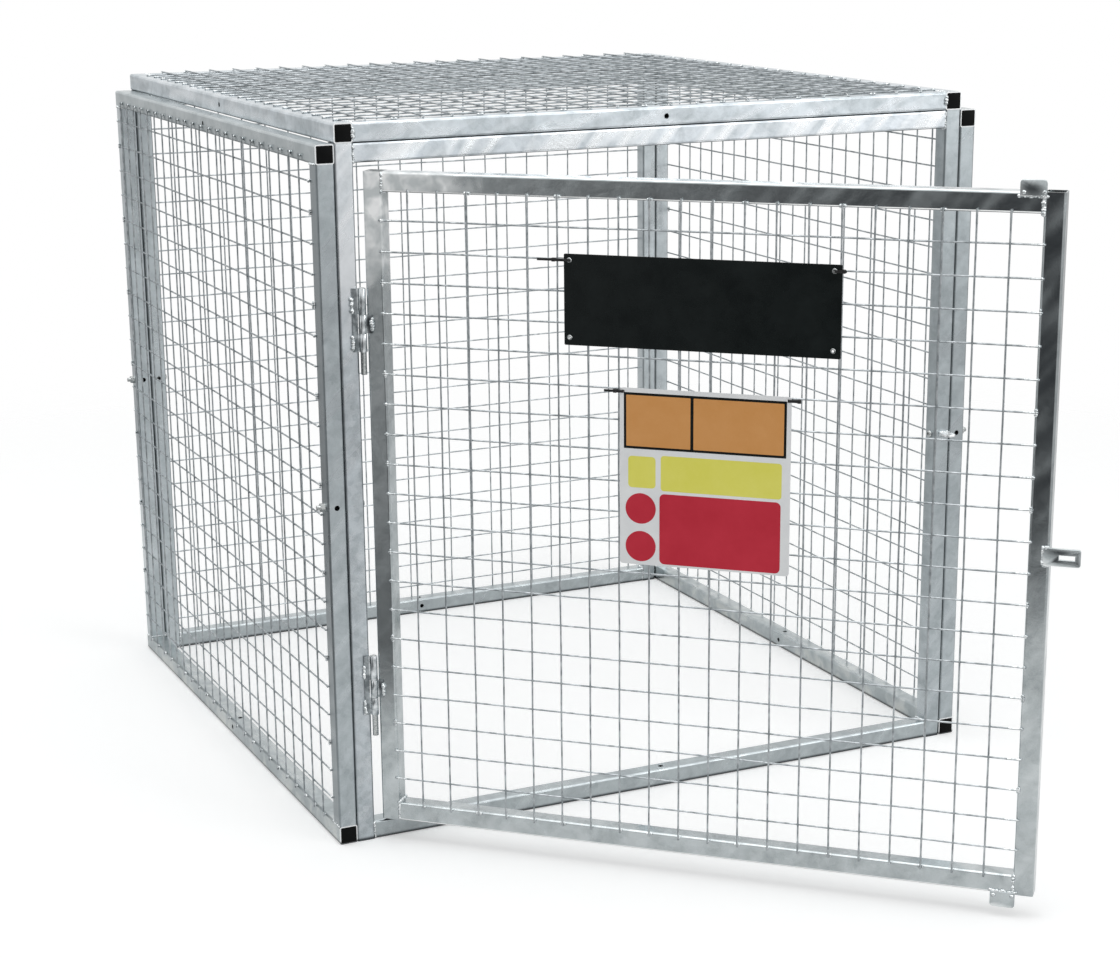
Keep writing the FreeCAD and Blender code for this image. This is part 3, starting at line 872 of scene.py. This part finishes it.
def makeThreads():
    tree, add, given = newTree("boltThread", Float=("Length", "Turns", *bolts["inputs"]), Material=("Finish",))
    helix = add("CurveSpiral", {
        "Resolution": bolts["steps"], "Rotations": given["Turns"], "Start Radius": given["Radius"],
        "End Radius": given["Radius"], "Height": given["Length"],
    })
    corner = add("CurvePrimitiveCircle", {"Resolution": 3, "Radius": given["Ridge"]})
    ridge = add("CurveToMesh", {"Curve": helix, "Profile Curve": corner, "Fill Caps": True})
    placed = add("InstanceOnPoints", {
        "Points": given["Geometry"], "Instance": ridge, "Rotation": (0, math.radians(90), 0),
    })
    add("GroupOutput", solidEnd(add, placed, given["Finish"], smooth=False))
    low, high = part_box("panel_bolts")
    points = []
    for name in bolts["posts"]:
        spot = middle(name)
        spot.x = low[0] + bolts["clear"] if spot.x < 0 else high[0] - bolts["tail"] + bolts["clear"]
        points.append(spot)
    length = bolts["tail"] - 2 * bolts["clear"]
    values = {**bolts["inputs"], "Length": length, "Turns": length / bolts["pitch"], "Finish": finish["plated"]}
    piece = runTree(tree, "bolt_threads", values, newMesh("bolt_threads", points))
    finishPiece(piece, "cage")


makeThreads()
print("bolts threaded")


# Weld beads: blobs set close together along each seam

beads = {
    "inputs": {"Spacing": 1.8 * mm, "Smallest": 0.6, "Largest": 1.3, "Drift": 0.8 * mm},
    "seam": 2.1 * mm,          # radius in the inner corners
    "doorSeam": 2.6 * mm,
    "lump": 3.6 * mm,          # radius beside the roof caps
    "lumpHalf": 6 * mm,
    "edge": 2 * mm,            # from a seam's end to the tube's face
    "sink": 1.1 * mm,          # how deep a bead across a joint lies in the tube
    "reach": 7,                # eighths of the joint that it crosses
    "eighths": 8,
}


def beadTree():
    tree, add, given = newTree(
        "weldBead", Float=("Radius", *beads["inputs"]), Int=("Seed",), Material=("Finish",))
    path = add("MeshToCurve", {"Mesh": given["Geometry"]})
    run = add("ResampleCurve", {"Curve": path, "Length": given["Spacing"]}, mode="LENGTH")
    ball = add("MeshIcoSphere", {"Radius": given["Radius"], "Subdivisions": 2})
    size = add("RandomValue", {"Min": given["Smallest"], "Max": given["Largest"], "Seed": given["Seed"]},
               data_type="FLOAT", out="Value")
    aside = add("RandomValue", (-1.0, -1.0, -1.0), (1.0, 1.0, 1.0), {"Seed": given["Seed"]},
                data_type="FLOAT_VECTOR")
    aside = add("VectorMath.SCALE", {0: aside, "Scale": given["Drift"]})
    moved = add("SetPosition", {"Geometry": run, "Offset": aside})
    balls = add("InstanceOnPoints", {"Points": moved, "Instance": ball, "Scale": size})
    add("GroupOutput", solidEnd(add, balls, given["Finish"]))
    return tree


def beadPiece(name, paths, radius, body, seed):
    # paths is a list of start and end pairs
    points = [p for pair in paths for p in pair]
    edges = [(i, i + 1) for i in range(0, len(points), 2)]
    values = {**beads["inputs"], "Radius": radius, "Seed": seed, "Finish": finish["weld"]}
    piece = runTree(bead, name, values, newMesh(name, points, edges))
    finishPiece(piece, body)


def cornerSeams(name, postsThrough):
    # where four tubes meet: a bead in each inner corner and one across both faces
    matrix, width, height = panels[name]
    edge, sink, reach, eighths = (beads[k] for k in ("edge", "sink", "reach", "eighths"))
    seams = []
    for x, endX in ((tube, 0), (width - tube, width)):
        for z, endZ in ((tube, 0), (height - tube, height)):
            farX, farZ = (x, endZ) if postsThrough else (endX, z)
            seams.append(((x, edge, z), (x, tube - edge, z)))
            for y in (sink, tube - sink):
                seams.append(((x, y, z), ((x + reach * farX) / eighths, y, (z + reach * farZ) / eighths)))
    return [(matrix @ Vector(first), matrix @ Vector(last)) for first, last in seams]


def makeBeads():
    seams = []
    for name in ("left", "right", "back", "front", "roof"):
        seams += cornerSeams(name, name not in ("left", "right"))
    beadPiece("frame_seams", seams, beads["seam"], "cage", 1)
    beadPiece("door_seams", cornerSeams("door", True), beads["doorSeam"], "door", 2)
    # a lump of weld on the seam beside each roof cap
    half = up * beads["lumpHalf"]
    corners = [Vector((side * (innerRight - tube), place, roofHigh - tube / 2))
               for side in (-1, 1) for place in (frontY, backY)]
    beadPiece("roof_lumps", [(corner - half, corner + half) for corner in corners], beads["lump"], "cage", 3)


bead = beadTree()
makeBeads()
print("seams welded")


# Sign boards, bare of any lettering, with their eyelets and cable ties

boards = {
    # all in mm; places are measured from the board's left edge and from its top
    "upper": {
        "node": "upper_sign", "finish": "black", "slot": "black_board", "corner": 2,
        "holes": [(8.5, 10), (429, 10), (8.5, 132), (429, 132)],
        "ties": [(0, -20.5, 26), (1, 9, 4)],     # hole, reach to the wire, tail
        "fields": [],
        "dots": [],
    },
    "lower": {
        "node": "lower_sign", "finish": "white", "slot": "white_board", "corner": 5,
        "holes": [(6, 6), (270, 6)],
        "ties": [(0, -8.5, 17), (1, 13, 1)],
        # left, top, right, low, corner radius, finish
        "fields": [
            (7, 7, 269, 97, 1, "black"), (11, 11, 115.5, 93, 1, "orange"), (120.5, 11, 265, 93, 1, "orange"),
            (67.5, 106, 262.5, 163, 5, "yellow"), (65.5, 168, 261.5, 283, 8, "red"),
            (14, 109, 59, 160, 6, "yellow"),
        ],
        "dots": [(34.5, 194), (34.5, 256)],
    },
    "dotRadius": 25 * mm,
    "ink": 0.15 * mm,
    "softEdge": 0.25 * mm,
    "sharp": 50,               # degrees between faces whose edge is softened
    "hole": 2.4 * mm,
    "rimBack": 0.4 * mm,       # how far an eyelet stands out behind
    # radius and distance from the board's front, both in mm, round its rim
    "rim": [(1.92, -0.5), (2.32, -0.9), (3.6, -0.8), (4.2, -0.1), (4.2, 0), (2.328, 0)],
}

ties = {
    "width": 4.4 * mm,
    "thick": 1.3 * mm,
    "bend": 1.6 * mm,          # radius of the loop's corners
    "pastWire": 3.2 * mm,      # how far the loop goes past the wire's middle
    "behind": 1.6 * mm,        # and behind the sheet of wires' face
    "ahead": 1.5 * mm,         # how far its face stands before the board
    "head": (-1.0 * mm, 4.6 * mm),         # its ends, from the loop's end
    "headDepth": (1.5 * mm, 1.7 * mm),     # of its two ends behind the loop's face
    "headThick": 4.4 * mm,
    "headWide": 1.35,                      # in widths of the band
    "tailStart": (2 * mm, 1.2 * mm),       # from the head's end and behind the face
    "tailWide": 0.9,
    "tailDrop": 0.9 * mm,                  # how far the tail's end leans outwards
    "tailSteps": 4,
    "softEdge": 0.3 * mm,
}


def arc(x, z, radius, first, last, steps):
    # points from the first to the last quarter turn
    turns = [math.radians(90 * (first + (last - first) * i / steps)) for i in range(steps + 1)]
    return [(x + radius * math.cos(turn), z + radius * math.sin(turn)) for turn in turns]


def roundedOutline(left, low, right, high, radius, steps=6):
    corners = ((right - radius, high - radius), (left + radius, high - radius),
               (left + radius, low + radius), (right - radius, low + radius))
    return [p for turn, (x, z) in enumerate(corners) for p in arc(x, z, radius, turn, turn + 1, steps)]


def circleOutline(x, z, radius, steps=28):
    return arc(x, z, radius, 0, 4, steps)[:-1]


def finishedMesh(work, name):
    # ends the work on a mesh, its faces turned outwards
    bmesh.ops.recalc_face_normals(work, faces=work.faces)
    mesh = bpy.data.meshes.new(name)
    work.to_mesh(mesh)
    work.free()
    return mesh


def ringFaces(rings, around, closed):
    # quads from each ring of points to the next
    faces = []
    for ring in range(rings if closed else rings - 1):
        a, b = ring * around, (ring + 1) % rings * around
        for i in range(around):
            j = (i + 1) % around
            faces.append((a + i, a + j, b + j, b + i))
    return faces


def sheetMesh(name, outlines, back, thick):
    # flat sheet in the panel's X and Z: the first outline is its edge, the others are holes
    work = bmesh.new()
    for outline in outlines:
        ring = [work.verts.new((x, back, z)) for x, z in outline]
        for i, vert in enumerate(ring):
            work.edges.new((vert, ring[(i + 1) % len(ring)]))
    bmesh.ops.triangle_fill(work, use_beauty=True, use_dissolve=False, edges=work.edges)
    made = bmesh.ops.extrude_face_region(work, geom=work.faces[:])
    front = [v for v in made["geom"] if isinstance(v, bmesh.types.BMVert)]
    bmesh.ops.translate(work, verts=front, vec=(0, -thick, 0))
    return finishedMesh(work, name)


def latheMesh(name, profile, centre, steps=28):
    # profile of (radius, y) pairs turned round an axis along Y, closed on itself
    points = [(x, y, z) for radius, y in profile for x, z in circleOutline(*centre, radius, steps)]
    return newMesh(name, points, faces=ringFaces(len(profile), steps, True))


def bandMesh(name, path, width, thick, closed, z):
    # flat band that follows a path of (x, y) points, its width along Z
    points = []
    count = len(path)
    for i, (x, y) in enumerate(path):
        before = path[i - 1] if closed or i else path[i]
        after = path[(i + 1) % count] if closed or i < count - 1 else path[i]
        way = Vector((after[0] - before[0], after[1] - before[1])).normalized()
        side = Vector((-way.y, way.x)) * thick / 2
        for sign, height in ((1, -0.5), (1, 0.5), (-1, 0.5), (-1, -0.5)):
            points.append((x + side.x * sign, y + side.y * sign, z + height * width))
    faces = ringFaces(count, 4, closed)
    if not closed:
        faces += [(3, 2, 1, 0), tuple(count * 4 - 4 + k for k in range(4))]
    return newMesh(name, points, faces=faces)


def joinMeshes(name, meshes, material, soft=0.0):
    # one piece on the door from meshes in its local place
    work = bmesh.new()
    for mesh in meshes:
        work.from_mesh(mesh)
    mesh = finishedMesh(work, name)
    mesh.materials.append(material)
    mesh.transform(doorBasis)
    piece = newObject(name, mesh)
    if soft:
        addBevel(piece, soft, boards["sharp"])
    return piece


def tieMeshes(name, hole, reach, tail, front, z):
    # loop through the board's hole and round the wire beside it, with its head and cut tail in front
    width, bend = ties["width"], ties["bend"]
    sign = 1 if reach > 0 else -1
    near, far = sorted((hole, hole + reach + sign * ties["pastWire"]))
    back, face = ties["behind"], front - ties["ahead"]
    corners = ((far - bend, back - bend), (near + bend, back - bend),
               (near + bend, face + bend), (far - bend, face + bend))
    path = [p for turn, (x, y) in enumerate(corners) for p in arc(x, y, bend, turn, turn + 1, 4)]
    loop = bandMesh(name + "_loop", path, width, ties["thick"], True, z)
    headFrom, headTo = ((far if sign > 0 else near) + sign * end for end in ties["head"])
    path = [(x, face + y) for x, y in zip((headFrom, headTo), ties["headDepth"])]
    head = bandMesh(name + "_head", path, width * ties["headWide"], ties["headThick"], False, z)
    inset, depth = ties["tailStart"]
    start, steps = headTo - sign * inset, ties["tailSteps"]
    path = [(start + sign * tail * k / steps, face + depth - ties["tailDrop"] * k / steps)
            for k in range(steps + 1)]
    end = bandMesh(name + "_tail", path, width * ties["tailWide"], ties["thick"], False, z)
    return [loop, head, end]


def makeBoards():
    eyelets, bands = [], []
    for key in ("upper", "lower"):
        board = boards[key]
        node, slotName = board["node"], board["slot"]
        left, right, low, high, front, back = doorSpans(node)
        holes = [(left + x * mm, high - y * mm) for x, y in board["holes"]]
        outlines = [roundedOutline(left, low, right, high, board["corner"] * mm)]
        outlines += [circleOutline(x, z, boards["hole"], 20) for x, z in holes]
        sheet = sheetMesh(node + "_sheet", outlines, back, back - front)
        piece = joinMeshes(node + "_board", [sheet], finish[board["finish"]], boards["softEdge"])
        finishPiece(piece, "door", (node,))
        ink = {}
        for fieldLeft, top, fieldRight, fieldLow, radius, colour in board["fields"]:
            lift = 2 if colour == "orange" else 1
            outline = roundedOutline(left + fieldLeft * mm, high - fieldLow * mm, left + fieldRight * mm,
                                     high - top * mm, radius * mm)
            ink.setdefault(colour, []).append(sheetMesh(colour, [outline], front, boards["ink"] * lift))
        for x, y in board["dots"]:
            outline = circleOutline(left + x * mm, high - y * mm, boards["dotRadius"], 40)
            ink["red"].append(sheetMesh("dot", [outline], front, boards["ink"]))
        for colour, meshes in ink.items():
            finishPiece(joinMeshes(key + "_" + colour + "_field", meshes, finish[colour]), "door")
        if key == "upper":
            rim = [(radius * mm, front + y * mm) for radius, y in boards["rim"]]
            end = back + boards["rimBack"]
            profile = [(rim[0][0], end), *rim, (rim[-1][0], end)]
            eyelets += [latheMesh("eyelet", profile, centre) for centre in holes]
        for index, reach, tail in board["ties"]:
            x, z = holes[index]
            bands += tieMeshes(key + "_tie", x, reach * mm, tail * mm, front, z)
    finishPiece(joinMeshes("sign_eyelets", eyelets, finish["plated"]), "door")
    finishPiece(joinMeshes("cable_ties", bands, finish["tie"], ties["softEdge"]), "door")


makeBoards()
print("boards tied to the door")


# Welds of the hinges, the stops and the lock

plateWelds = {
    "lobes": [(0.003, 0.024), (0.066, 0.086)],     # from the hinge's foot, on the post leaf's edge
    "nugget": (0.036, 0.054),                      # on the door leaf's edge
    "lobe": 3.4 * mm,
    "lobeOut": 1.6 * mm,               # how far the lobes lie before the post
    "nuggetOut": 1.4 * mm,
    "stopBead": 3.0 * mm,
    "beadOut": 0.6 * mm,
    "stopEnds": (-1 * mm, 11 * mm),    # the short beads at a stop's sides, from each side
    "stopMiddle": 15 * mm,
    "stopSpot": (5 * mm, 6 * mm),      # bright spots on a stop's face, from its side and from its foot
    "spotSink": 1.6 * mm,
    "spotLong": 1 * mm,
    "haspOut": 0.8 * mm,
    "clear": 2 * mm,                   # from the ends of the hasp's and the thick bead
    "stapleOut": 0.4 * mm,
    "stapleInset": 1 * mm,
    "heavy": 3.5 * mm,                 # the thick bead beside the top stop
}


def hingeFeet():
    # heights of the lowest knuckles' lower ends, read from the leaves on the post
    levels = sorted({round(v.co.z, 5) for v in frame["nodes"]["hinge_post_leaves"].data.vertices})
    half = (levels[0] + levels[-1]) / 2
    return [min(z for z in levels if z < half), min(z for z in levels if z > half)]


def weldHinges():
    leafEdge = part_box("hinge_post_leaves")[0][0]
    doorEdge = pinAt + doorRight * span("hinge_door_leaves", doorRight, pinAt)[1]
    doorEdge += doorOut * (span("door_hinge_stile", doorOut, pinAt)[1] + plateWelds["nuggetOut"])
    posts, doors = [], []
    for foot in hingeFeet():
        for lobe in plateWelds["lobes"]:
            posts.append([Vector((leafEdge, frontY - plateWelds["lobeOut"], foot + end)) for end in lobe])
        doors.append([Vector((doorEdge.x, doorEdge.y, foot + end)) for end in plateWelds["nugget"]])
    beadPiece("hinge_post_welds", posts, plateWelds["lobe"], "cage", 5)
    beadPiece("hinge_door_welds", doors, plateWelds["lobe"], "door", 6)


def doorLine(firstX, lastX, y, firstZ, lastZ=None):
    # a seam on the door, from places on it
    lastZ = firstZ if lastZ is None else lastZ
    return doorBasis @ Vector((firstX, y, firstZ)), doorBasis @ Vector((lastX, y, lastZ))


def weldStopsAndHasp():
    # beads along the edge that lies on the door's outer face
    seams = []
    beadOut, (first, last), inset = (plateWelds[k] for k in ("beadOut", "stopEnds", "stopMiddle"))
    aside, rise = plateWelds["stopSpot"]
    for name in ("door_top_stop", "door_bottom_stop"):
        left, right, low, high, front, back = doorSpans(name)
        z, spotZ = (low, low + rise) if name == "door_top_stop" else (high, high - rise)
        for start, end in ((left + first, left + last), (right - last, right - first),
                           (left + inset, right - inset)):
            seams.append(doorLine(start, end, -beadOut, z))
        for x in (left + aside, right - aside):
            seams.append(doorLine(x, x + plateWelds["spotLong"], front + plateWelds["spotSink"], spotZ))
    left, right, low, high, front, back = doorSpans("hasp")
    clear = plateWelds["clear"]
    seams.append(doorLine(left, left, -plateWelds["haspOut"], low + clear, high - clear))
    for z in (low, high):
        seams.append(doorLine(left, doorWidth - clear, -beadOut, z))
    beadPiece("stop_and_hasp_welds", seams, plateWelds["stopBead"], "door", 7)
    x = doorWidth - tube
    heavy = doorLine(x, x, 0, doorHeight - clear, doorHeight - tube - clear)
    beadPiece("door_heavy_weld", [heavy], plateWelds["heavy"], "door", 9)


def weldStaple():
    # the staple's foot on the latch post
    low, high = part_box("lock_staple")
    y, inset = frontY - plateWelds["stapleOut"], plateWelds["stapleInset"]
    seams = [[Vector((x, y, z)) for x in (low[0] + inset, high[0] - inset)] for z in (low[2], high[2])]
    beadPiece("staple_welds", seams, plateWelds["stopBead"], "cage", 8)


weldHinges()
weldStopsAndHasp()
weldStaple()
print("plates welded")
